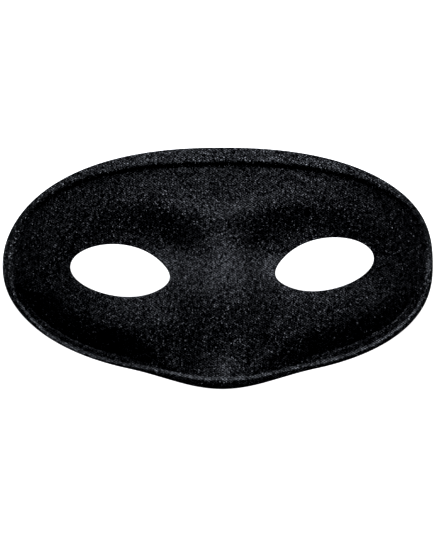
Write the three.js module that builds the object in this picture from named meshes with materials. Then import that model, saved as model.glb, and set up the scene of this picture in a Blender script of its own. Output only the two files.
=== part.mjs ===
// A half mask for the eyes and the bridge of the nose: one pressed shell of cloth on a stiff
// backing, with two almond eye holes and a bead pressed round its edge. It lies on its back.
// X runs from temple to temple, +Y to the brow edge, +Z out of the face. Millimetres.

import * as THREE from 'three';

const DEGREE = Math.PI / 180;

// The outline from the front: a superellipse above and below the widest line, with a lobe that
// dips over the nose. X is counted from the nose line here; at the height of the temples the
// outline leans to the left of it, and the finished shell is moved so that its outline is centred.
const outline = {
  halfWidth: 89,
  widestLine: 0.96,
  rise: 48.54,
  drop: 45.72,
  upperPower: 2.275,
  lowerPower: 2.194,
  lobeDepth: 4.74,
  lobeHalfWidth: 38.9,
};
const lean = { reach: 1.87, upperRun: 20, lowerRun: 25 };

// The eye holes: leaning almonds, punched a little askew to the outline
const eye = {
  outwards: 43.05,
  height: 0,
  halfLength: 19.6,
  halfHeight: 10.55,
  lean: 9.0 * DEGREE,
  outerFullness: -0.05,
  upperFullness: 0.56,
  innerPoint: 1.97,
  pointPower: 14,
};
const PUNCH_SKEW = 1.75 * DEGREE;

const SHELL_THICKNESS = 1.4;

// The pressed form is turned a little against the outline
const FORM_SKEW = 1.1 * DEGREE;
const CENTRE_ROUNDING = 2;

// The arch from temple to temple. Past its foot the edge is turned out flat, so that the mask
// lies on both temples without rocking.
const arch = { height: 33, foot: 86.5, power: 2.8, flatEdge: 1.25, bend: 1.0 };

// The brow ridge with the frown line along it, and the eye socket below it. The ridge drops
// towards the nose.
const brow = { line: 31.4, peakOutwards: 35.6, bow: 0.0135, rise: 0.57, run: 8.7, reach: 19.5 };
const frown = { rise: 0.56, height: 21.4, climb: 0.15, reach: 33.5, halfWidth: 3.9 };
const socket = { depth: 4.4, run: 22.2, innerStart: 2.6, innerRun: 22.4, outerStart: 41, outerRun: 70 };

// Low forms pressed by hand, not quite the same on both sides: dents and grooves in the inner
// corners of the eye sockets, beside the bridge of the nose, and the cheeks
const lowForms = {
  rightNoseDent: { rise: -3.04, x: 11.1, y: 5.8, halfWidth: 9.5, halfHeight: 9.4 },
  rightInnerGroove: { rise: -0.57, x: 14.4, y: 7, halfWidth: 3.8, halfHeight: 6.8 },
  rightTearDent: { rise: -1.1, x: 19, y: 1.7, halfWidth: 5.6, halfHeight: 4.9 },
  leftNoseDent: { rise: -2.9, x: -9, y: 3.7, halfWidth: 9.5, halfHeight: 9.5 },
  leftBrowDent: { rise: -1.3, x: -24.1, y: 8.7, halfWidth: 6.9, halfHeight: 9 },
  leftInnerGroove: { rise: -0.37, x: -16.1, y: 9.5, halfWidth: 3.9, halfHeight: 3.6 },
  rightCheek: { rise: 4.7, x: 44, y: -22.3, halfWidth: 31.5, halfHeight: 13.5 },
  leftCheek: { rise: 5.2, x: -39.4, y: -23.3, halfWidth: 23.3, halfHeight: 11.6 },
};

// The nose: its ridge climbs from the top to the middle and is broader further down. Above the
// tip it was pressed a little to the left.
const nose = {
  top: 25, middle: -15, foot: -46, rise: 7.6, roundness: 0.5,
  topWidth: 5.2, middleWidth: 29, lowWidth: 44.1,
  slip: 1.1, slipStart: -38, slipRun: 20,
};
const bridge = { rise: 0.56, height: 0.6, halfWidth: 11.5, halfHeight: 5.5 };
const noseTip = { start: -33, run: 15.5, rise: 2.6, width: 4.5 };
const chinFall = { start: 4.8, run: 47, depth: 4.6 };

// The cheeks roll down steeply to the bead. The roll narrows to nothing at the temples and
// beside the nose, where it lies a little to the left.
const roll = {
  slope: 0.33, inner: 15.5, outer: 3.6, power: 1.35,
  start: -3, run: 24, noseStart: 7.8, noseRun: 36.2, slip: 3, least: 0.01,
};

// The bead round the edge. Its crest lies `inset` from the edge: the flank outside it falls by
// `fall`, and a wall inside it, `wall` wide, drops by `lip` to the form.
const bead = {
  brow: { inset: 5.2, fall: 0.15, lip: 2.1, wall: 2.9 },
  temple: { inset: 1.7, fall: 1, lip: 2, wall: 2.6 },
  cheek: { inset: 1.4, fall: 0.7, lip: 1.3, wall: 1.55 },
  nose: { inset: 3.6, fall: 1.9, lip: 1.4, wall: 1.7 },
  leastInset: 0.5,
  flankPower: 1.3,
};
const beadPlaces = { browReach: 80, cheekRun: 16, noseReach: 38 };

// The cut strays from the bead: wide of it at the left temple, close to it at the right temple
// and below the left cheek
const stray = {
  leftTemple: 0.5, rightTemple: -0.9, templeHeight: 2, templeRun: 12,
  leftCheek: -1.1, cheekHeight: -33, cheekRun: 9,
};

// A flat place inside each temple, where a strap is fixed
const land = { outwards: 73, height: 0, halfWidth: 4.5, halfHeight: 7, blend: 4 };

// Mesh
const EDGE_STEPS = 120;
const CENTRE_STEPS = 22;
const EYE_RINGS = 8;
const BAND_WIDTH = 8.8;
const OUTLINE_SAMPLES = 4000;

function smoothStep(t) {
  const u = Math.min(Math.max(t, 0), 1);
  return u * u * u * (u * (6 * u - 15) + 10);
}

function mix(a, b, t) {
  return a + (b - a) * t;
}

function signedPower(value, power) {
  return Math.sign(value) * Math.abs(value) ** power;
}

function bell(distance, run) {
  return Math.exp(-((distance / run) ** 2));
}

// How far the outline leans to the left of the nose line at a height
function templeLean(y) {
  return lean.reach * bell(
    y - outline.widestLine,
    y > outline.widestLine ? lean.upperRun : lean.lowerRun,
  );
}

// One side's edge at an angle, counted from the temple towards the brow
function outlinePoint(angle, side) {
  const above = Math.sin(angle) >= 0;
  const power = 2 / (above ? outline.upperPower : outline.lowerPower);
  const height = above ? outline.rise : outline.drop;
  const x = side * outline.halfWidth * signedPower(Math.cos(angle), power);
  let y = height * signedPower(Math.sin(angle), power) + outline.widestLine;
  if (!above && Math.abs(x) < outline.lobeHalfWidth) {
    y -= outline.lobeDepth * Math.cos((Math.PI / 2) * (x / outline.lobeHalfWidth)) ** 2;
  }
  return new THREE.Vector2(x - templeLean(y), y);
}

// One side's edge, from the top of the brow to the foot of the nose, with equal steps along it
function edgeSide(steps, side) {
  const path = new THREE.CurvePath();
  let last = outlinePoint(Math.PI / 2, side);
  for (let i = 1; i <= OUTLINE_SAMPLES; i += 1) {
    const next = outlinePoint(Math.PI * (0.5 - i / OUTLINE_SAMPLES), side);
    path.add(new THREE.LineCurve(last, next));
    last = next;
  }
  return path.getSpacedPoints(steps);
}

// The closed edge, clockwise from the top of the brow
function edgeLoop(steps) {
  const left = edgeSide(steps / 2, -1).slice(1, -1).reverse();
  return [...edgeSide(steps / 2, 1), ...left];
}

function eyePoint(angle, side) {
  const towardsNose = (1 - Math.cos(angle)) / 2;
  const along = eye.halfLength * Math.cos(angle) - eye.innerPoint * towardsNose ** eye.pointPower;
  const across = eye.halfHeight * Math.sin(angle) * (1 + eye.outerFullness * Math.cos(angle))
    + eye.upperFullness * Math.sin(angle) ** 2;
  return new THREE.Vector2(along, across)
    .rotateAround(new THREE.Vector2(), eye.lean)
    .add(new THREE.Vector2(eye.outwards, eye.height))
    .rotateAround(new THREE.Vector2(), side * PUNCH_SKEW);
}

// The point of the eye hole's edge that faces a point of the loop around it
function facingEyePoint(target, side) {
  const centre = new THREE.Vector2(eye.outwards, eye.height)
    .rotateAround(new THREE.Vector2(), side * PUNCH_SKEW);
  const ray = target.clone().sub(centre)
    .rotateAround(new THREE.Vector2(), -eye.lean - side * PUNCH_SKEW);
  return eyePoint(Math.atan2(ray.y / eye.halfHeight, ray.x / eye.halfLength), side);
}

// How far a point lies inside the edge, and where on the edge it is nearest
function nearestEdge(x, y, edge) {
  let best = { distance: Infinity, x: 0, y: 0 };
  edge.forEach((from, i) => {
    const to = edge[(i + 1) % edge.length];
    const dx = to.x - from.x;
    const dy = to.y - from.y;
    const along = ((x - from.x) * dx + (y - from.y) * dy) / (dx * dx + dy * dy);
    const t = Math.min(Math.max(along, 0), 1);
    const px = from.x + t * dx;
    const py = from.y + t * dy;
    const distance = Math.hypot(x - px, y - py);
    if (distance < best.distance) best = { distance, x: px, y: py };
  });
  return best;
}

// The bead's measures at a place on the edge
function beadAt(edgePoint) {
  const { x, y } = edgePoint;
  const out = Math.abs(x);
  const below = outline.widestLine - y;
  const browShare = Math.cos((Math.PI / 2) * Math.min(out / beadPlaces.browReach, 1));
  const toBrow = below < 0 ? browShare : 0;
  const toCheek = smoothStep(below / beadPlaces.cheekRun);
  const toNose = below > 0 ? Math.max(1 - out / beadPlaces.noseReach, 0) : 0;
  const at = (name) => {
    const beside = mix(bead.temple[name], bead.cheek[name], toCheek);
    return mix(mix(beside, bead.brow[name], toBrow), bead.nose[name], toNose);
  };
  const atTemple = bell(y - stray.templeHeight, stray.templeRun);
  const atCheek = bell(y - stray.cheekHeight, stray.cheekRun);
  const strayed = x < 0
    ? stray.leftTemple * atTemple + stray.leftCheek * atCheek
    : stray.rightTemple * atTemple;
  return {
    inset: Math.max(at('inset') + strayed, bead.leastInset),
    fall: at('fall'),
    lip: at('lip'),
    wall: at('wall'),
  };
}

function beadHeight(edgePoint) {
  const { inset, fall, lip, wall } = beadAt(edgePoint);
  const d = edgePoint.distance;
  if (d < inset) return lip - fall * (1 - d / inset) ** bead.flankPower;
  return lip * (1 - smoothStep((d - inset) / wall));
}

function rollDepth(edgePoint) {
  const below = smoothStep((roll.start - edgePoint.y) / roll.run);
  const beside = smoothStep((Math.abs(edgePoint.x + roll.slip) - roll.noseStart) / roll.noseRun);
  const width = Math.max((roll.inner - roll.outer) * below * beside, roll.least);
  const share = Math.min(Math.max((roll.outer + width - edgePoint.distance) / width, 0), 1);
  return roll.slope * width * share ** roll.power;
}

function noseHeight(x, y) {
  const climb = Math.min(Math.max((nose.top - y) / (nose.top - nose.middle), 0), 1);
  const lower = smoothStep((nose.middle - y) / (nose.middle - nose.foot));
  const width = mix(mix(nose.topWidth, nose.middleWidth, smoothStep(climb)), nose.lowWidth, lower);
  const fromRidge = x + nose.slip * smoothStep((y - nose.slipStart) / nose.slipRun);
  const ridge = nose.rise * mix(climb, smoothStep(climb), nose.roundness) * bell(fromRidge, width);
  const saddle = bridge.rise * bell(fromRidge, bridge.halfWidth)
    * bell(y - bridge.height, bridge.halfHeight);
  const tip = noseTip.rise * smoothStep((noseTip.start - y) / noseTip.run) * bell(x, noseTip.width);
  return ridge + saddle + tip;
}

// The pressed form at a place, x and y along the turned form's own axes
function formHeight(x, y) {
  const out = Math.hypot(x, CENTRE_ROUNDING);
  const browLine = brow.line - brow.bow * (out - brow.peakOutwards) ** 2;
  const ridge = brow.rise * smoothStep((browLine + brow.run - y) / brow.run) * bell(x, brow.reach);
  const furrow = frown.rise * bell(x, frown.reach)
    * bell(y - frown.height - frown.climb * out, frown.halfWidth);
  const hollow = socket.depth * smoothStep((browLine - y) / socket.run)
    * smoothStep((out - socket.innerStart) / socket.innerRun)
    * (1 - smoothStep((out - socket.outerStart) / socket.outerRun));
  const low = Object.values(lowForms).reduce((sum, form) => sum + form.rise
    * bell(x - form.x, form.halfWidth) * bell(y - form.y, form.halfHeight), 0);
  const fall = chinFall.depth * smoothStep((chinFall.start - y) / chinFall.run);
  return ridge + furrow - hollow + low - fall + noseHeight(x, y);
}

function frontHeight(x, y, edge) {
  const turned = new THREE.Vector2(x, y).rotateAround(new THREE.Vector2(), -FORM_SKEW);
  const edgePoint = nearestEdge(x, y, edge);
  const fromMiddle = Math.abs(x + templeLean(y));
  const height = SHELL_THICKNESS
    + arch.height * (1 - (fromMiddle / arch.foot) ** arch.power)
    + formHeight(turned.x, turned.y)
    - rollDepth(edgePoint) + beadHeight(edgePoint);
  const over = height - arch.flatEdge;
  return arch.flatEdge + 0.5 * (over + Math.hypot(over, arch.bend));
}

// The front as a flat net of points and triangles: a band inside the edge, whose rings follow
// the bead, and on each side a net between the band, the centre line and the eye hole
function maskNet(edge) {
  const points = [];
  const triangles = [];
  const add = (p) => points.push(p) - 1;
  const quad = (a, b, c, d, flip) => {
    if (flip) triangles.push(a, b, c, a, c, d);
    else triangles.push(a, d, c, a, c, b);
  };
  const inward = edge.map((p, i) => {
    const before = edge[(i + edge.length - 1) % edge.length];
    const after = edge[(i + 1) % edge.length];
    return new THREE.Vector2(after.y - before.y, before.x - after.x).normalize();
  });
  const bandRings = edge.map((p, i) => {
    const { inset, wall } = beadAt(p);
    const insets = [0, 0.45 * inset, 0.85 * inset, inset + 0.2 * wall, inset + 0.6 * wall,
      inset + wall, mix(inset + wall, BAND_WIDTH, 0.5), BAND_WIDTH];
    return insets.map((d) => add(p.clone().addScaledVector(inward[i], d)));
  });
  bandRings.forEach((ring, i) => {
    const next = bandRings[(i + 1) % bandRings.length];
    for (let j = 0; j + 1 < ring.length; j += 1) {
      const flip = i >= EDGE_STEPS / 2;
      if (flip) quad(next[j], ring[j], ring[j + 1], next[j + 1], true);
      else quad(ring[j], next[j], next[j + 1], ring[j + 1], false);
    }
  });
  const inner = bandRings.map((ring) => ring[ring.length - 1]);
  const top = points[inner[0]];
  const bottom = points[inner[EDGE_STEPS / 2]];
  const centre = [];
  for (let k = 1; k < CENTRE_STEPS; k += 1) {
    centre.push(add(bottom.clone().lerp(top, k / CENTRE_STEPS)));
  }
  for (const side of [1, -1]) {
    const around = side > 0
      ? inner.slice(0, EDGE_STEPS / 2 + 1)
      : [inner[0], ...inner.slice(EDGE_STEPS / 2).reverse()];
    const loop = [...around, ...centre];
    const spokes = loop.map((index) => {
      const outer = new THREE.Vector2(side * points[index].x, points[index].y);
      const hole = facingEyePoint(outer, side);
      const spoke = [index];
      for (let r = 1; r <= EYE_RINGS; r += 1) {
        const p = outer.clone().lerp(hole, r / EYE_RINGS);
        spoke.push(add(new THREE.Vector2(side * p.x, p.y)));
      }
      return spoke;
    });
    spokes.forEach((spoke, m) => {
      const next = spokes[(m + 1) % spokes.length];
      for (let r = 0; r < EYE_RINGS; r += 1) {
        quad(spoke[r], next[r], next[r + 1], spoke[r + 1], side < 0);
      }
    });
  }
  return { points, triangles };
}

// The inside of the shell, a thickness behind the front, with the strap lands flat
function backHeights(front, normals, edge) {
  const depth = (z, nz) => Math.max(0, z - SHELL_THICKNESS / nz);
  const landAt = (side) => {
    const at = (out) => frontHeight(side * out - lean.reach, land.height, edge);
    const near = at(land.outwards - land.halfWidth);
    const far = at(land.outwards + land.halfWidth);
    const slope = (far - near) / (2 * land.halfWidth);
    return { middle: at(land.outwards) - SHELL_THICKNESS * Math.hypot(1, slope), slope };
  };
  const lands = { right: landAt(1), left: landAt(-1) };
  return front.map((p, i) => {
    const fromMiddle = p.x + lean.reach;
    const { middle, slope } = fromMiddle > 0 ? lands.right : lands.left;
    const across = Math.abs(fromMiddle) - land.outwards;
    const beyond = Math.hypot(
      Math.max(Math.abs(across) - land.halfWidth, 0),
      Math.max(Math.abs(p.y - land.height) - land.halfHeight, 0),
    );
    const flat = 1 - smoothStep(beyond / land.blend);
    return mix(depth(p.z, normals[i]), middle + slope * across, flat);
  });
}

function frontNormals(front, triangles) {
  const sheet = new THREE.BufferGeometry().setFromPoints(front);
  sheet.setIndex(triangles);
  sheet.computeVertexNormals();
  return front.map((_, i) => sheet.getAttribute('normal').getZ(i));
}

// A closed solid between the front and the inside, with a wall along every free edge
function shellGeometry() {
  const edge = edgeLoop(EDGE_STEPS);
  const net = maskNet(edge);
  const front = net.points.map((p) => new THREE.Vector3(p.x, p.y, frontHeight(p.x, p.y, edge)));
  const normals = frontNormals(front, net.triangles);
  const inside = backHeights(front, normals, edge).map((z, i) => front[i].clone().setZ(z));
  const count = front.length;
  const triangles = [...net.triangles];
  const edges = new Set();
  for (let t = 0; t < net.triangles.length; t += 3) {
    const [a, b, c] = net.triangles.slice(t, t + 3);
    triangles.push(a + count, c + count, b + count);
    for (const [from, to] of [[a, b], [b, c], [c, a]]) edges.add(`${from} ${to}`);
  }
  for (const key of edges) {
    const [from, to] = key.split(' ').map(Number);
    if (!edges.has(`${to} ${from}`)) {
      triangles.push(to, from, from + count, to, from + count, to + count);
    }
  }
  const geometry = new THREE.BufferGeometry().setFromPoints([...front, ...inside]);
  geometry.translate(lean.reach, 0, 0);
  geometry.setIndex(triangles);
  geometry.computeVertexNormals();
  return geometry;
}

const blackSatin = new THREE.MeshStandardMaterial({
  color: 0x141417,
  roughness: 0.55,
  metalness: 0,
});

const maskShell = new THREE.Mesh(shellGeometry(), blackSatin);
maskShell.name = 'mask_shell';

const eyeMask = new THREE.Group();
eyeMask.add(maskShell);

export default eyeMask;
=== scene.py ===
"""A black satin half mask for the eyes, lying on its back on a white sweep."""

import math

import bpy
import numpy as np
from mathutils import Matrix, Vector


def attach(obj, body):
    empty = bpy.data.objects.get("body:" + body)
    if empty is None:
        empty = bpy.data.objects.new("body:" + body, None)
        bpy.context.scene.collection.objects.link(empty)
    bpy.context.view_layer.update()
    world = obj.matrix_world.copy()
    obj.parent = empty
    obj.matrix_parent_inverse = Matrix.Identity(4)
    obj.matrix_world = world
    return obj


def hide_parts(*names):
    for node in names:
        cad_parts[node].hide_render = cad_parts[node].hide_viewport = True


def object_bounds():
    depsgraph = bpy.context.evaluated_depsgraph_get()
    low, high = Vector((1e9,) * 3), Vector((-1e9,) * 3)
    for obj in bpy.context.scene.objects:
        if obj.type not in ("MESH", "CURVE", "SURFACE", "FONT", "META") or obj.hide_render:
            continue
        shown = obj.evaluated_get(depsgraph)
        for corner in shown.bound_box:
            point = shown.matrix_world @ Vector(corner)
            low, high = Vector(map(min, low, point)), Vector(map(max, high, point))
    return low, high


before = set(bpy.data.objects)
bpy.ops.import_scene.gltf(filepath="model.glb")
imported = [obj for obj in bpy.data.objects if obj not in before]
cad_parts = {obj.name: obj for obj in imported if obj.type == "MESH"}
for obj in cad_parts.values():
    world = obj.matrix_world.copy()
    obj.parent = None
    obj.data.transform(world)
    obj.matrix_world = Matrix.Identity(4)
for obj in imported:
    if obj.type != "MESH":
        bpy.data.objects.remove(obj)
cad_low, cad_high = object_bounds()

MM = 0.001
DEGREE = math.pi / 180

# The outline from the front, in millimetres: a superellipse above and below the widest
# line, with a lobe that dips over the nose. X is counted from the nose line; at the height
# of the temples the outline leans to the left of it
HALF_WIDTH = (cad_high.x - cad_low.x) / 2 / MM
WIDEST_LINE = 0.96
RISE = cad_high.y / MM - WIDEST_LINE
LOBE_DEPTH = 4.74
LOBE_HALF_WIDTH = 38.9
DROP = WIDEST_LINE - cad_low.y / MM - LOBE_DEPTH
UPPER_POWER = 2.275
LOWER_POWER = 2.194
LEAN = {"reach": 1.87, "upper_run": 20, "lower_run": 25}

# The eye holes: leaning almonds, punched a little askew to the outline
EYE = {
    "outwards": 43.05,
    "height": 0.0,
    "half_length": 19.6,
    "half_height": 10.55,
    "lean": 9.0 * DEGREE,
    "outer_fullness": -0.05,
    "upper_fullness": 0.56,
    "inner_point": 1.97,
    "point_power": 14,
}
PUNCH_SKEW = 1.75 * DEGREE

# The layers of the shell: satin bonded to felt, with the glue line between them, a rounded
# cut edge on the satin, and felt that was trimmed a little shorter
SHELL_THICKNESS = 1.4
SATIN_THICKNESS = 0.45
GLUE_LINE = 0.03
CUT_ROUNDING = 0.28
FELT_SHRINK = 0.12
# Where the rim comes down to the floor: how low the satin's underside and the felt's top may
# lie, and how thin each layer may get
LOWEST_SATIN_UNDERSIDE = 0.75
LOWEST_FELT_TOP = 0.7
THINNEST_SATIN = 0.1
THINNEST_FELT = 0.2

# The pressed form is turned a little against the outline. Its two sides meet in a round at
# the nose line
FORM_SKEW = 1.1 * DEGREE
CENTRE_ROUNDING = 2
# The arch from temple to temple. Past its foot the edge is turned out flat, so that the mask
# lies on both temples without rocking
ARCH = {"height": 33, "foot": 86.5, "power": 2.8, "flat_edge": 1.25, "bend": 1.0}
# The brow ridge with the frown line along it, and the eye socket below it. The ridge drops
# towards the nose
BROW = {"line": 31.4, "peak": 35.6, "bow": 0.0135, "rise": 0.57, "run": 8.7, "reach": 19.5}
FROWN = {"rise": 0.56, "height": 21.4, "climb": 0.15, "reach": 33.5, "half_width": 3.9}
SOCKET = {"depth": 4.4, "run": 22.2, "inner_start": 2.6, "inner_run": 22.4,
          "outer_start": 41, "outer_run": 70}
# Low forms pressed by hand, not quite the same on both sides: dents and grooves in the inner
# corners of the eye sockets, beside the bridge of the nose, and the cheeks
LOW_FORMS = {
    "right_nose_dent": {"rise": -3.04, "x": 11.1, "y": 5.8, "half_width": 9.5, "half_height": 9.4},
    "right_inner_groove": {"rise": -0.57, "x": 14.4, "y": 7.0, "half_width": 3.8, "half_height": 6.8},
    "right_tear_dent": {"rise": -1.1, "x": 19.0, "y": 1.7, "half_width": 5.6, "half_height": 4.9},
    "left_nose_dent": {"rise": -2.9, "x": -9.0, "y": 3.7, "half_width": 9.5, "half_height": 9.5},
    "left_brow_dent": {"rise": -1.3, "x": -24.1, "y": 8.7, "half_width": 6.9, "half_height": 9.0},
    "left_inner_groove": {"rise": -0.37, "x": -16.1, "y": 9.5, "half_width": 3.9, "half_height": 3.6},
    "right_cheek": {"rise": 4.7, "x": 44.0, "y": -22.3, "half_width": 31.5, "half_height": 13.5},
    "left_cheek": {"rise": 5.2, "x": -39.4, "y": -23.3, "half_width": 23.3, "half_height": 11.6},
}
# The nose: its ridge climbs from the top to the middle and is broader further down. Above the
# tip it was pressed a little to the left. Towards the chin the whole front falls back
NOSE = {"top": 25, "middle": -15, "foot": -46, "rise": 7.6, "roundness": 0.5,
        "top_width": 5.2, "middle_width": 29.0, "low_width": 44.1,
        "slip": 1.1, "slip_start": -38, "slip_run": 20}
BRIDGE = {"rise": 0.56, "height": 0.6, "half_width": 11.5, "half_height": 5.5}
NOSE_TIP = {"start": -33.0, "run": 15.5, "rise": 2.6, "width": 4.5}
CHIN_FALL = {"start": 4.8, "run": 47, "depth": 4.6}
# The cheeks roll down steeply to the hem. The roll narrows to nothing at the temples and
# beside the nose, where it lies a little to the left
ROLL = {"slope": 0.33, "inner": 15.5, "outer": 3.6, "power": 1.35, "least": 0.01,
        "start": -3, "run": 24, "nose_start": 7.8, "nose_run": 36.2, "slip": 3}
# A soft crease in the cloth beside the inner corner of the left eye hole
CREASE = {"rise": 0.9, "x": -18.6, "y": -7.5, "lean": 60 * DEGREE,
          "half_length": 10, "half_width": 2.2}

# The bead round the edge: how far in its crest lies, how far its flank falls outside the
# crest and how fully, and how high and wide the wall inside the crest is
BEAD = {
    "brow": {"inset": 5.2, "fall": 0.15, "lip": 2.1, "wall": 2.9},
    "temple": {"inset": 1.7, "fall": 1.0, "lip": 2.0, "wall": 2.6},
    "cheek": {"inset": 1.4, "fall": 0.7, "lip": 1.3, "wall": 1.55},
    "nose": {"inset": 3.6, "fall": 1.9, "lip": 1.4, "wall": 1.7},
}
FLANK_POWER = 1.3
LEAST_INSET = 0.5
# The brow's and the nose's bead pass into the temples' and the cheeks' within a reach to each
# side, and the temples' into the cheeks' over a run below the widest line
BROW_REACH = 80
NOSE_REACH = 38
CHEEK_RUN = 16
# The cut strays from the bead: wide of it at the left temple, close to it at the right temple
# and below the left cheek
STRAY = {"left_temple": 0.5, "right_temple": -0.9, "temple_height": 2, "temple_run": 12,
         "left_cheek": -1.1, "cheek_height": -33, "cheek_run": 9}
# The hem below the cheeks: how wide it is on each side, how far it falls from the cut to the
# step, and the step at which the cloth dips inside it. It fades out at the temples and beside
# the nose, and bulges a little below the temples
HEM = {"right": 4.7, "left": 3.5, "fall": 0.35, "step": 1.0, "step_run": 1.15,
       "temple_run": 26, "nose_start": 29, "nose_run": 17,
       "bulge": 0.8, "bulge_height": -12, "bulge_run": 7}
# Painted sheen on the rim, a brighter gloss that stands in for light: the hem's share of the
# crest's sheen, which grows towards the temples. Then where the crest's sheen lies, as shares of the
# wall's width
HEM_PAINTED_SHEEN = {"middle": 0.4, "temple": 0.95, "start": 45, "run": 30}
CREST_PAINTED_SHEEN = {"place": 0.3, "half_width": 0.45}

# The nets of the two layers: steps round the edge and along the centre line, rings round an
# eye hole, and rings in the band inside the edge: on the bead's flank and on its wall, and
# from there inwards. The band is as wide all round
SATIN_NET = {"edge_steps": 600, "centre_steps": 110, "eye_rings": 30, "flank_rings": 7,
             "inner_rings": 16}
FELT_NET = {"edge_steps": 300, "centre_steps": 56, "eye_rings": 16, "flank_rings": 4,
            "inner_rings": 4}
BAND_WIDTH = 8.8
# The rings on the rounding of a cut edge, as shares of its width
CUT_RINGS = np.array([0, 0.06, 0.25, 0.55])
OUTLINE_SAMPLES = 4000
POINTS_AT_ONCE = 400
SHARP_ANGLE = 50 * DEGREE


def smooth_step(share):
    """A ramp from 0 to 1 that is level and unbent at both ends."""
    t = np.clip(share, 0, 1)
    return t**3 * (t * (6 * t - 15) + 10)


def mix(first, second, share):
    return first + (second - first) * share


def turned(x, y, angle):
    """A place turned about the origin, anticlockwise."""
    return x * np.cos(angle) - y * np.sin(angle), x * np.sin(angle) + y * np.cos(angle)


def bell(distance, run):
    """A bell curve: 1 in its middle, and a little over a third at its run."""
    return np.exp(-((distance / run) ** 2))


def temple_lean(y):
    """How far the outline leans to the left of the nose line at a height."""
    run = np.where(y > WIDEST_LINE, LEAN["upper_run"], LEAN["lower_run"])
    return LEAN["reach"] * bell(y - WIDEST_LINE, run)


def outline_point(angle, side):
    """One side's edge at an angle, counted from the temple towards the brow."""
    out, up = np.cos(angle), np.sin(angle)
    power = np.where(up >= 0, 2 / UPPER_POWER, 2 / LOWER_POWER)
    x = side * HALF_WIDTH * np.sign(out) * np.abs(out) ** power
    y = np.where(up >= 0, RISE, DROP) * np.sign(up) * np.abs(up) ** power
    lobe = LOBE_DEPTH * np.cos(math.pi / 2 * x / LOBE_HALF_WIDTH) ** 2
    y = y - np.where((up < 0) & (np.abs(x) < LOBE_HALF_WIDTH), lobe, 0) + WIDEST_LINE
    return x - temple_lean(y), y


def edge_side(steps, side):
    """One side's edge, from the top of the brow to the foot of the nose, in equal steps."""
    angles = np.linspace(math.pi / 2, -math.pi / 2, OUTLINE_SAMPLES + 1)
    x, y = outline_point(angles, side)
    run = np.concatenate([[0], np.cumsum(np.hypot(np.diff(x), np.diff(y)))])
    spots = np.interp(np.linspace(0, run[-1], steps + 1), run, angles)
    return np.stack(outline_point(spots, side), axis=1)


def edge_loop(steps):
    """The closed edge, clockwise from the top of the brow."""
    right, left = edge_side(steps // 2, 1), edge_side(steps // 2, -1)
    return np.concatenate([right, left[-2:0:-1]])


def eye_point(angle, side):
    """A point on the edge of a side's eye hole, as it lies before the left side is mirrored."""
    towards_nose = (1 - np.cos(angle)) / 2
    along = EYE["half_length"] * np.cos(angle)
    along = along - EYE["inner_point"] * towards_nose ** EYE["point_power"]
    across = EYE["half_height"] * np.sin(angle) * (1 + EYE["outer_fullness"] * np.cos(angle))
    across = across + EYE["upper_fullness"] * np.sin(angle) ** 2
    x, y = turned(along, across, EYE["lean"])
    x, y = turned(x + EYE["outwards"], y + EYE["height"], side * PUNCH_SKEW)
    return np.stack([x, y], axis=1)


def facing_eye_points(loop, side):
    """The points on the eye hole's edge that face the points of a loop round it, both as
    they lie before the left side is mirrored."""
    centre_x, centre_y = turned(EYE["outwards"], EYE["height"], side * PUNCH_SKEW)
    along, across = turned(loop[:, 0] - centre_x, loop[:, 1] - centre_y,
                           -EYE["lean"] - side * PUNCH_SKEW)
    angle = np.arctan2(across / EYE["half_height"], along / EYE["half_length"])
    return eye_point(angle, side)


def nearest_edge(points, edge):
    """How far points lie inside the edge, and where on the edge they are nearest."""
    start, step = edge, np.roll(edge, -1, axis=0) - edge
    length_squared = (step**2).sum(axis=1)
    distance = np.empty(len(points))
    spot = np.empty((len(points), 2))
    for first in range(0, len(points), POINTS_AT_ONCE):
        some = slice(first, first + POINTS_AT_ONCE)
        place = points[some, None, :]
        along = ((place - start) * step).sum(axis=2) / length_squared
        on_edge = start + np.clip(along, 0, 1)[:, :, None] * step
        far = np.hypot(*(place - on_edge).transpose(2, 0, 1))
        best = far.argmin(axis=1)
        rows = np.arange(len(best))
        distance[some] = far[rows, best]
        spot[some] = on_edge[rows, best]
    return distance, spot


def bead_at(spot):
    """The bead's inset, fall, lip and wall at places on the edge."""
    x, y = spot[:, 0], spot[:, 1]
    out = np.abs(x)
    below = WIDEST_LINE - y
    to_brow = np.where(below < 0, np.cos(math.pi / 2 * np.clip(out / BROW_REACH, 0, 1)), 0)
    to_cheek = smooth_step(below / CHEEK_RUN)
    to_nose = np.where(below > 0, np.clip(1 - out / NOSE_REACH, 0, 1), 0)

    def at(name):
        beside = mix(BEAD["temple"][name], BEAD["cheek"][name], to_cheek)
        return mix(mix(beside, BEAD["brow"][name], to_brow), BEAD["nose"][name], to_nose)

    at_temple = bell(y - STRAY["temple_height"], STRAY["temple_run"])
    at_cheek = bell(y - STRAY["cheek_height"], STRAY["cheek_run"])
    left = STRAY["left_temple"] * at_temple + STRAY["left_cheek"] * at_cheek
    stray = np.where(x < 0, left, STRAY["right_temple"] * at_temple)
    inset = np.maximum(at("inset") + stray, LEAST_INSET)
    return inset, at("fall"), at("lip"), at("wall")


def bead_height(distance, spot):
    """How far the bead stands up: its flank outside the crest, and the wall inside it."""
    inset, fall, lip, wall = bead_at(spot)
    flank = lip - fall * np.clip(1 - distance / inset, 0, 1) ** FLANK_POWER
    inside = lip * (1 - smooth_step((distance - inset) / wall))
    return np.where(distance < inset, flank, inside)


def hem_at(spot):
    """The width of the flat hem at places on the edge, and how clear its step is."""
    bulge = HEM["bulge"] * bell(spot[:, 1] - HEM["bulge_height"], HEM["bulge_run"])
    width = np.where(spot[:, 0] > 0, HEM["right"], HEM["left"]) + bulge
    clear = smooth_step((WIDEST_LINE - spot[:, 1]) / HEM["temple_run"])
    clear = clear * smooth_step((np.abs(spot[:, 0]) - HEM["nose_start"]) / HEM["nose_run"])
    return mix(ROLL["outer"], width, clear), clear


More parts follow.
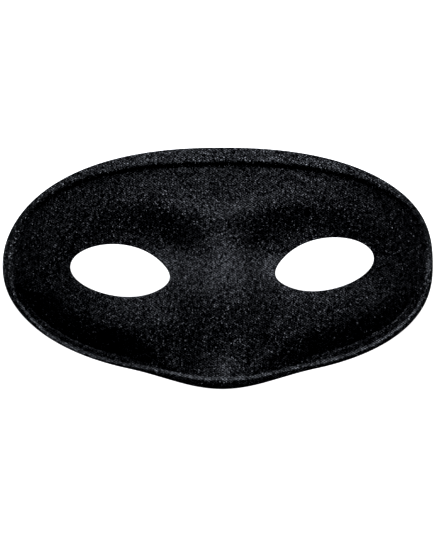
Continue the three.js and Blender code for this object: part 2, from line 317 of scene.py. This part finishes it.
def hem_height(distance, spot):
    """How far the hem stands over the cloth, and how far that dips inside the hem's step."""
    width, clear = hem_at(spot)
    hem = HEM["fall"] * np.clip(1 - distance / width, 0, 1)
    back = np.clip((ROLL["inner"] - distance) / (ROLL["inner"] - width), 0, 1) ** ROLL["power"]
    step = HEM["step"] * smooth_step((distance - width) / HEM["step_run"]) * back
    return clear * (hem - step)


def roll_depth(distance, spot):
    """How far the cheeks have rolled down. The roll ends at the hem, which lies flat."""
    distance = np.maximum(distance, hem_at(spot)[0])
    below = smooth_step((ROLL["start"] - spot[:, 1]) / ROLL["run"])
    from_nose = np.abs(spot[:, 0] + ROLL["slip"])
    beside = smooth_step((from_nose - ROLL["nose_start"]) / ROLL["nose_run"])
    width = np.maximum((ROLL["inner"] - ROLL["outer"]) * below * beside, ROLL["least"])
    share = np.clip((ROLL["outer"] + width - distance) / width, 0, 1)
    return ROLL["slope"] * width * share ** ROLL["power"]


def nose_height(x, y):
    """The nose, with its bridge and its tip."""
    climb = np.clip((NOSE["top"] - y) / (NOSE["top"] - NOSE["middle"]), 0, 1)
    ridge = NOSE["rise"] * mix(climb, smooth_step(climb), NOSE["roundness"])
    lower = smooth_step((NOSE["middle"] - y) / (NOSE["middle"] - NOSE["foot"]))
    width = mix(NOSE["top_width"], NOSE["middle_width"], smooth_step(climb))
    width = mix(width, NOSE["low_width"], lower)
    from_ridge = x + NOSE["slip"] * smooth_step((y - NOSE["slip_start"]) / NOSE["slip_run"])
    bridge = BRIDGE["rise"] * bell(from_ridge, BRIDGE["half_width"])
    bridge = bridge * bell(y - BRIDGE["height"], BRIDGE["half_height"])
    tip = NOSE_TIP["rise"] * smooth_step((NOSE_TIP["start"] - y) / NOSE_TIP["run"])
    return ridge * bell(from_ridge, width) + bridge + tip * bell(x, NOSE_TIP["width"])


def crease_height(x, y):
    along, across = turned(x - CREASE["x"], y - CREASE["y"], -CREASE["lean"])
    return CREASE["rise"] * bell(along, CREASE["half_length"]) * bell(across, CREASE["half_width"])


def form_height(x, y):
    """The pressed form at places given along the turned form's own axes."""
    out = np.hypot(x, CENTRE_ROUNDING)
    brow_line = BROW["line"] - BROW["bow"] * (out - BROW["peak"]) ** 2
    ridge = BROW["rise"] * smooth_step((brow_line + BROW["run"] - y) / BROW["run"])
    ridge = ridge * bell(x, BROW["reach"])
    furrow = FROWN["rise"] * bell(x, FROWN["reach"])
    furrow = furrow * bell(y - FROWN["height"] - FROWN["climb"] * out, FROWN["half_width"])
    hollow = SOCKET["depth"] * smooth_step((brow_line - y) / SOCKET["run"])
    hollow = hollow * smooth_step((out - SOCKET["inner_start"]) / SOCKET["inner_run"])
    hollow = hollow * (1 - smooth_step((out - SOCKET["outer_start"]) / SOCKET["outer_run"]))
    low = sum(form["rise"] * bell(x - form["x"], form["half_width"])
              * bell(y - form["y"], form["half_height"]) for form in LOW_FORMS.values())
    fall = CHIN_FALL["depth"] * smooth_step((CHIN_FALL["start"] - y) / CHIN_FALL["run"])
    return ridge + furrow - hollow + low - fall + nose_height(x, y) + crease_height(x, y)


def front_height(points, edge):
    """The height of the pressed front over the floor."""
    x, y = turned(points[:, 0], points[:, 1], -FORM_SKEW)
    distance, spot = nearest_edge(points, edge)
    from_middle = np.abs(points[:, 0] + temple_lean(points[:, 1]))
    arch = ARCH["height"] * (1 - (from_middle / ARCH["foot"]) ** ARCH["power"])
    height = SHELL_THICKNESS + arch + form_height(x, y)
    height = height - roll_depth(distance, spot) + hem_height(distance, spot)
    over = height + bead_height(distance, spot) - ARCH["flat_edge"]
    return ARCH["flat_edge"] + (over + np.hypot(over, ARCH["bend"])) / 2


def quads(grid, flip):
    """Faces over a grid of point numbers whose rows go clockwise and close on the first."""
    after = np.roll(grid, -1, axis=0)
    corners = [grid[:, :-1], grid[:, 1:], after[:, 1:], after[:, :-1]]
    if flip:
        corners = [corners[0], *corners[:0:-1]]
    return np.stack(corners, axis=2).reshape(-1, 4)


def edge_band(edge_steps, flank_rings, inner_rings, shrink):
    """Rings of points inside the edge that follow the bead, and how far in each one lies."""
    edge = edge_loop(edge_steps)
    step = np.roll(edge, -1, axis=0) - np.roll(edge, 1, axis=0)
    inward = np.stack([step[:, 1], -step[:, 0]], axis=1)
    inward = inward / np.hypot(*inward.T)[:, None]
    edge = edge + inward * shrink
    inset, _, _, wall = (part[:, None] for part in bead_at(edge))
    cut = np.tile(CUT_ROUNDING * CUT_RINGS, (edge_steps, 1))
    flank = mix(CUT_ROUNDING, inset, np.linspace(0, 1, flank_rings, endpoint=False))
    inside = mix(inset, inset + wall, np.linspace(0, 1, flank_rings, endpoint=False))
    inner = mix(inset + wall, BAND_WIDTH, np.linspace(0, 1, inner_rings))
    insets = np.concatenate([cut, flank, inside, inner], axis=1)
    return edge[:, None, :] + inward[:, None, :] * insets[:, :, None], insets


def eye_spokes(loop, side, eye_rings, shrink):
    """Rows of points from a loop round an eye hole to the hole's edge, with closer ones where
    the cut is rounded, and how far each point lies from the cut."""
    loop = loop * [side, 1]
    hole = facing_eye_points(loop, side)
    reach = np.hypot(*(hole - loop).T)[:, None]
    hole = mix(hole, loop, shrink / reach)
    even = np.linspace(0, 1, eye_rings + 1)[1:] * (1 - CUT_ROUNDING / reach)
    close = 1 - np.flip(CUT_ROUNDING * CUT_RINGS) / reach
    share = np.concatenate([even, close], axis=1)
    spokes = mix(loop[:, None, :], hole[:, None, :], share[:, :, None]) * [side, 1]
    return spokes, (1 - share) * reach


def mask_net(edge_steps, centre_steps, eye_rings, flank_rings, inner_rings, shrink=0.0):
    """The mask as a flat net: a band inside the edge, and on each side spokes from the band
    and the centre line to the eye hole. Gives the points, the faces, and each point's
    distance from the nearest cut."""
    band, insets = edge_band(edge_steps, flank_rings, inner_rings, shrink)
    band_index = np.arange(insets.size).reshape(insets.shape)
    inner_loop = band[:, -1]
    half = edge_steps // 2
    share = np.linspace(0, 1, centre_steps + 1)[1:-1, None]
    centre = mix(inner_loop[half], inner_loop[0], share)
    centre_index = insets.size + np.arange(len(centre))
    points = [band.reshape(-1, 2), centre]
    from_cut = [insets.reshape(-1), np.full(len(centre), BAND_WIDTH)]
    faces = [quads(band_index, flip=False)]
    count = insets.size + len(centre)
    for side in (1, -1):
        around = np.arange(half + 1) if side > 0 else -np.arange(half + 1) % edge_steps
        loop = np.concatenate([inner_loop[around], centre])
        loop_index = np.concatenate([band_index[around, -1], centre_index])
        spokes, depth = eye_spokes(loop, side, eye_rings, shrink)
        index = count + np.arange(depth.size).reshape(depth.shape)
        count += depth.size
        points.append(spokes.reshape(-1, 2))
        from_cut.append(depth.reshape(-1))
        faces.append(quads(np.column_stack([loop_index, index]), flip=side < 0))
    return np.concatenate(points), np.concatenate(faces), np.concatenate(from_cut)


def rim_painted_sheen(points, edge):
    """How much brighter the satin's gloss is drawn on the rim: a painted sheen that stands in
    for light, over the hem from the cut to the bead, and most on the crest of the bead."""
    distance, spot = nearest_edge(points, edge)
    inset, _, _, wall = bead_at(spot)
    past_crest = (distance - inset) / wall
    to_temples = smooth_step((np.abs(spot[:, 0]) - HEM_PAINTED_SHEEN["start"]) / HEM_PAINTED_SHEEN["run"])
    hem = mix(HEM_PAINTED_SHEEN["middle"], HEM_PAINTED_SHEEN["temple"], to_temples) * (1 - smooth_step(past_crest))
    crest = bell(past_crest - CREST_PAINTED_SHEEN["place"], CREST_PAINTED_SHEEN["half_width"])
    return mix(hem, 1, crest)


def upward_part(points, heights, faces):
    """The upward part of each point's unit normal."""
    place = np.column_stack([points, heights])
    corner = place[faces]
    normal = np.cross(corner[:, 2] - corner[:, 0], corner[:, 3] - corner[:, 1])
    total = np.zeros_like(place)
    for k in range(4):
        np.add.at(total, faces[:, k], normal)
    return total[:, 2] / np.linalg.norm(total, axis=1)


def closed_layer(name, points, top, bottom, faces):
    """A mesh object between two height fields on one net, walled along every cut. The net
    counts X from the nose line, and the object from the middle of the outline."""
    count = len(points)
    pairs = np.concatenate([faces[:, [k, (k + 1) % 4]] for k in range(4)])
    forward = set(map(tuple, pairs.tolist()))
    cuts = np.array([p for p in forward if (p[1], p[0]) not in forward])
    walls = np.stack([cuts[:, 1], cuts[:, 0], cuts[:, 0] + count, cuts[:, 1] + count], axis=1)
    in_order = walls[np.lexsort(walls.T)]
    points = points + [LEAN["reach"], 0]
    place = np.concatenate([np.column_stack([points, top]), np.column_stack([points, bottom])])
    every_face = np.concatenate([faces, faces[:, ::-1] + count, in_order])
    mesh = bpy.data.meshes.new(name)
    mesh.from_pydata((place * MM).tolist(), [], every_face.tolist())
    mesh.validate()
    mesh.shade_smooth()
    mesh.set_sharp_from_angle(angle=SHARP_ANGLE)
    piece = bpy.data.objects.new(name, mesh)
    bpy.context.scene.collection.objects.link(piece)
    return piece


def cut_fall(from_cut):
    """How far the front drops where a cut edge is rounded."""
    short = np.clip(CUT_ROUNDING - from_cut, 0, CUT_ROUNDING)
    return CUT_ROUNDING - np.sqrt(np.maximum(CUT_ROUNDING**2 - short**2, 0))


# The satin's thread floats in millimetres: real ones are 0.1 wide, and these are drawn as
# coarse as a picture of the whole mask can show. Then how far each may tilt, as a slope, and
# how few of them are bright
FLOAT_LENGTH = 0.38
FLOAT_TILT = 0.85
FLOAT_CONTRAST = 2.6
# The twill lines of the weave: their pitch in millimetres, and for the two ways in which they
# run, the direction across them and how far the sheen rises on them and falls between them
TWILL_PITCH = 0.78
TWILLS = {"rising": (124 * DEGREE, 0.6), "falling": (56 * DEGREE, 0.85)}

# The felt's clumps of fibre and its nap, in millimetres. The real fibres are 0.02 thick, so
# the nap is drawn coarser too
FELT_CLUMP = 2.2
FELT_NAP = 0.35
FELT_NAP_DEPTH = 0.12

# The numbers of a mix node's sockets: the share, the two colours, and the colour that comes out
FACTOR, FIRST, SECOND, MIXED = 0, 6, 7, 2


def linear(hex_colour):
    """An sRGB hex colour as linear RGBA."""
    parts = [int(hex_colour[i:i + 2], 16) / 255 for i in (1, 3, 5)]
    parts = [p / 12.92 if p <= 0.04045 else ((p + 0.055) / 1.055) ** 2.4 for p in parts]
    return (*parts, 1.0)


def add_node(tree, kind, settings=None, inputs=None):
    """Adds a node. An input's value is a constant, or the output socket to link from. Inputs
    that share a name go by number."""
    node = tree.nodes.new(kind)
    for key, value in (settings or {}).items():
        setattr(node, key, value)
    for key, value in (inputs or {}).items():
        if isinstance(value, bpy.types.NodeSocket):
            tree.links.new(value, node.inputs[key])
        else:
            node.inputs[key].default_value = value
    return node


def new_material(name):
    material = bpy.data.materials.new(name)
    material.use_nodes = True
    material.node_tree.nodes.clear()
    return material


def object_millimetres(tree):
    """The object's own coordinates, in millimetres."""
    coords = add_node(tree, "ShaderNodeTexCoord").outputs["Object"]
    return add_node(tree, "ShaderNodeVectorMath", {"operation": "SCALE"},
                    {0: coords, "Scale": 1 / MM}).outputs[0]


def black_satin():
    """Polyester satin, woven fine and pressed in a hot die. Its thread floats lie at small
    chance tilts, so that each glints or stays black by itself over a soft broad gloss, and
    faint twill lines cross it. It is dyed so deep that next to nothing comes back from inside
    the thread: all that shows is gloss, drawn as a dark metal's. Along the hem and on the
    bead's crest the gloss is drawn brighter, a painted sheen that stands in for light."""
    material = new_material("pressed_black_satin")
    tree = material.node_tree
    in_mm = object_millimetres(tree)
    floats = add_node(tree, "ShaderNodeTexVoronoi", {"voronoi_dimensions": "3D"},
                      {"Vector": in_mm, "Scale": 1 / FLOAT_LENGTH}).outputs["Color"]
    # A chance tilt for each float, cubed so that most of them lie nearly flat
    chance = add_node(tree, "ShaderNodeVectorMath", {"operation": "MULTIPLY_ADD"},
                      {0: floats, 1: (2, 2, 0), 2: (-1, -1, 0)}).outputs[0]
    squared = add_node(tree, "ShaderNodeVectorMath", {"operation": "MULTIPLY"},
                       {0: chance, 1: chance}).outputs[0]
    cubed = add_node(tree, "ShaderNodeVectorMath", {"operation": "MULTIPLY"},
                     {0: squared, 1: chance}).outputs[0]
    tilt = add_node(tree, "ShaderNodeVectorMath", {"operation": "SCALE"},
                    {0: cubed, "Scale": FLOAT_TILT}).outputs[0]
    surface = add_node(tree, "ShaderNodeNewGeometry").outputs["Normal"]
    tilted = add_node(tree, "ShaderNodeVectorMath", {"operation": "ADD"},
                      {0: surface, 1: tilt}).outputs[0]
    normal = add_node(tree, "ShaderNodeVectorMath", {"operation": "NORMALIZE"},
                      {0: tilted}).outputs[0]
    # A chance brightness for each float, which rises and falls with both sets of twill lines
    split = add_node(tree, "ShaderNodeSeparateColor", {}, {"Color": floats})
    sheen = add_node(tree, "ShaderNodeMath", {"operation": "POWER"},
                     {0: split.outputs[2], 1: FLOAT_CONTRAST}).outputs[0]
    for across, depth in TWILLS.values():
        turns = 2 * math.pi / TWILL_PITCH
        phase = add_node(tree, "ShaderNodeVectorMath", {"operation": "DOT_PRODUCT"}, {
            0: in_mm, 1: (turns * math.cos(across), turns * math.sin(across), 0)}).outputs["Value"]
        wave = add_node(tree, "ShaderNodeMath", {"operation": "SINE"}, {0: phase}).outputs[0]
        line = add_node(tree, "ShaderNodeMath", {"operation": "MULTIPLY_ADD"},
                        {0: wave, 1: depth, 2: 1.0}).outputs[0]
        sheen = add_node(tree, "ShaderNodeMath", {"operation": "MULTIPLY"},
                         {0: sheen, 1: line}).outputs[0]
    plain = add_node(tree, "ShaderNodeMix", {"data_type": "RGBA"},
                     {FACTOR: sheen, FIRST: linear("#020203"),
                      SECOND: linear("#505154")}).outputs[MIXED]
    # Painted sheen: the same floats drawn brighter, for the rim
    painted_sheen_colour = add_node(tree, "ShaderNodeMix", {"data_type": "RGBA"},
                      {FACTOR: sheen, FIRST: linear("#030304"),
                       SECOND: linear("#75777b")}).outputs[MIXED]
    # Painted sheen: how far the rim takes the brighter colours
    painted_sheen = add_node(tree, "ShaderNodeAttribute", {"attribute_name": "rim_painted_sheen"})
    colour = add_node(tree, "ShaderNodeMix", {"data_type": "RGBA"},
                      {FACTOR: painted_sheen.outputs["Fac"], FIRST: plain,
                       SECOND: painted_sheen_colour}).outputs[MIXED]
    roughness = add_node(tree, "ShaderNodeMapRange", {},
                         {"Value": split.outputs[2], "To Min": 0.48, "To Max": 0.58}).outputs[0]
    shader = add_node(tree, "ShaderNodeBsdfPrincipled", {}, {
        "Base Color": colour,
        "Metallic": 1.0,
        "Roughness": roughness,
        "Normal": normal,
    })
    add_node(tree, "ShaderNodeOutputMaterial", {}, {"Surface": shader.outputs[0]})
    return material


def black_felt():
    """Needled polyester felt, stiffened and pressed in a hot mould: matt, mottled where its
    fibres clump, with a short flattened nap that catches a little light at a low angle."""
    material = new_material("pressed_black_felt")
    tree = material.node_tree
    in_mm = object_millimetres(tree)
    clumps = add_node(tree, "ShaderNodeTexNoise", {},
                      {"Vector": in_mm, "Scale": 1 / FELT_CLUMP, "Detail": 3.0,
                       "Roughness": 0.6}).outputs[0]
    mottle = add_node(tree, "ShaderNodeMapRange", {},
                      {"Value": clumps, "From Min": 0.3, "From Max": 0.7}).outputs[0]
    colour = add_node(tree, "ShaderNodeMix", {"data_type": "RGBA"},
                      {FACTOR: mottle, FIRST: linear("#121214"),
                       SECOND: linear("#2b2b2e")}).outputs[MIXED]
    nap = add_node(tree, "ShaderNodeTexNoise", {},
                   {"Vector": in_mm, "Scale": 1 / FELT_NAP, "Detail": 4.0,
                    "Distortion": 1.2}).outputs[0]
    roughness = add_node(tree, "ShaderNodeMapRange", {},
                         {"Value": mottle, "To Min": 0.96, "To Max": 0.84}).outputs[0]
    normal = add_node(tree, "ShaderNodeBump", {},
                      {"Strength": 0.8, "Distance": FELT_NAP_DEPTH * MM, "Height": nap}).outputs[0]
    shader = add_node(tree, "ShaderNodeBsdfPrincipled", {}, {
        "Base Color": colour,
        "Roughness": roughness,
        "Specular IOR Level": 0.3,
        "Sheen Weight": 0.25,
        "Sheen Roughness": 0.6,
        "Normal": normal,
    })
    add_node(tree, "ShaderNodeOutputMaterial", {}, {"Surface": shader.outputs[0]})
    return material


def white_sweep():
    """Matt white paper that glows by itself, so that it is plain white all over."""
    material = new_material("white_paper")
    tree = material.node_tree
    shader = add_node(tree, "ShaderNodeBsdfPrincipled", {}, {
        "Base Color": linear("#f4f4f4"),
        "Roughness": 0.9,
        "Specular IOR Level": 0.2,
        "Emission Color": linear("#ffffff"),
        "Emission Strength": 1.0,
    })
    add_node(tree, "ShaderNodeOutputMaterial", {}, {"Surface": shader.outputs[0]})
    return material


def satin_face():
    """The satin in front, with its cut edges rounded and a painted sheen on its rim."""
    points, faces, from_cut = mask_net(**SATIN_NET)
    edge = edge_loop(SATIN_NET["edge_steps"])
    front = front_height(points, edge)
    upward = upward_part(points, front, faces)
    top = front - cut_fall(from_cut)
    bottom = np.maximum(front - SATIN_THICKNESS / upward, LOWEST_SATIN_UNDERSIDE)
    bottom = np.minimum(bottom, top - THINNEST_SATIN)
    piece = closed_layer("satin_face", points, top, bottom, faces)
    # Painted sheen: how much brighter the rim's gloss is drawn, stored on each point
    painted_sheen = piece.data.attributes.new("rim_painted_sheen", "FLOAT", "POINT")
    painted_sheen.data.foreach_set("value", np.tile(rim_painted_sheen(points, edge), 2))
    piece.data.materials.append(black_satin())
    return piece


def felt_backing():
    """The felt behind the satin, which reaches down to the floor at the temples."""
    points, faces, _ = mask_net(**FELT_NET, shrink=FELT_SHRINK)
    edge = edge_loop(FELT_NET["edge_steps"])
    front = front_height(points, edge)
    upward = upward_part(points, front, faces)
    top = np.maximum(front - (SATIN_THICKNESS + GLUE_LINE) / upward, LOWEST_FELT_TOP)
    bottom = np.maximum(front - SHELL_THICKNESS / upward, 0)
    bottom = np.minimum(bottom, top - THINNEST_FELT)
    piece = closed_layer("felt_backing", points, top, bottom, faces)
    piece.data.materials.append(black_felt())
    return piece


# The white sweep: its side in metres, and how far below the mask it lies
SWEEP_SIDE = 12
SWEEP_GAP = 0.5 * MM


def floor():
    """The white sweep, which the satin doesn't mirror."""
    bpy.ops.mesh.primitive_plane_add(size=SWEEP_SIDE, location=(0, 0, -SWEEP_GAP))
    sweep = bpy.context.object
    sweep.name = "white_sweep"
    sweep.data.materials.append(white_sweep())
    sweep.visible_glossy = False


# A square softbox low beyond the brow, in metres and watts, the place that it points at, and
# the glow of the dark room
SOFTBOX = {"side": 1.0, "away": 1.0, "from_zenith": 57 * DEGREE, "to_right": 3.5 * DEGREE,
           "power": 28, "colour": "#f4f8ff"}
SOFTBOX_TARGET = Vector((0, 0, 0.03))
ROOM_GLOW = 0.008


def softbox():
    data = bpy.data.lights.new("brow_softbox", "AREA")
    data.shape = "SQUARE"
    data.size = SOFTBOX["side"]
    data.energy = SOFTBOX["power"]
    data.color = linear(SOFTBOX["colour"])[:3]
    light = bpy.data.objects.new("brow_softbox", data)
    out = SOFTBOX["away"] * math.sin(SOFTBOX["from_zenith"])
    light.location = (out * math.sin(SOFTBOX["to_right"]), out * math.cos(SOFTBOX["to_right"]),
                      SOFTBOX["away"] * math.cos(SOFTBOX["from_zenith"]))
    to_mask = SOFTBOX_TARGET - light.location
    light.rotation_euler = to_mask.to_track_quat("-Z", "Y").to_euler()
    light.visible_camera = False
    bpy.context.scene.collection.objects.link(light)


def dark_room():
    world = bpy.data.worlds.new("dark_room")
    world.use_nodes = True
    background = world.node_tree.nodes["Background"]
    background.inputs["Color"].default_value = (1, 1, 1, 1)
    background.inputs["Strength"].default_value = ROOM_GLOW
    bpy.context.scene.world = world


# The photograph's frame: its size in pixels, the outline's width in it, and where the
# middle of the mask lies. Then how high the camera stands, in metres, and its sensor's width
# in millimetres
FRAME_WIDTH, FRAME_HEIGHT = 435, 537
OUTLINE_PIXELS = 430.4
MIDDLE_PIXEL = (217.74, 268.25)
CAMERA_DISTANCE = 4.0
SENSOR = 36
# The linear tone that the photograph shows as full black
BLACK_POINT = 0.0013


def camera():
    data = bpy.data.cameras.new("camera")
    metres_per_pixel = (cad_high.x - cad_low.x) / OUTLINE_PIXELS
    data.sensor_width = SENSOR
    data.lens = SENSOR * CAMERA_DISTANCE / (FRAME_HEIGHT * metres_per_pixel)
    eye = bpy.data.objects.new("camera", data)
    eye.location = ((FRAME_WIDTH / 2 - MIDDLE_PIXEL[0]) * metres_per_pixel,
                    (MIDDLE_PIXEL[1] - FRAME_HEIGHT / 2) * metres_per_pixel, CAMERA_DISTANCE)
    bpy.context.scene.collection.objects.link(eye)
    bpy.context.scene.camera = eye


def tones():
    """Plain tones, with the deepest shadows set to black as in the photograph."""
    view = bpy.context.scene.view_settings
    view.view_transform = "Standard"
    view.use_curve_mapping = True
    view.curve_mapping.black_level = (BLACK_POINT, BLACK_POINT, BLACK_POINT)
    view.curve_mapping.update()


camera()
tones()
softbox()
dark_room()
floor()
satin = satin_face()
felt = felt_backing()
for layer in (satin, felt):
    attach(layer, "root")
    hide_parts("mask_shell")
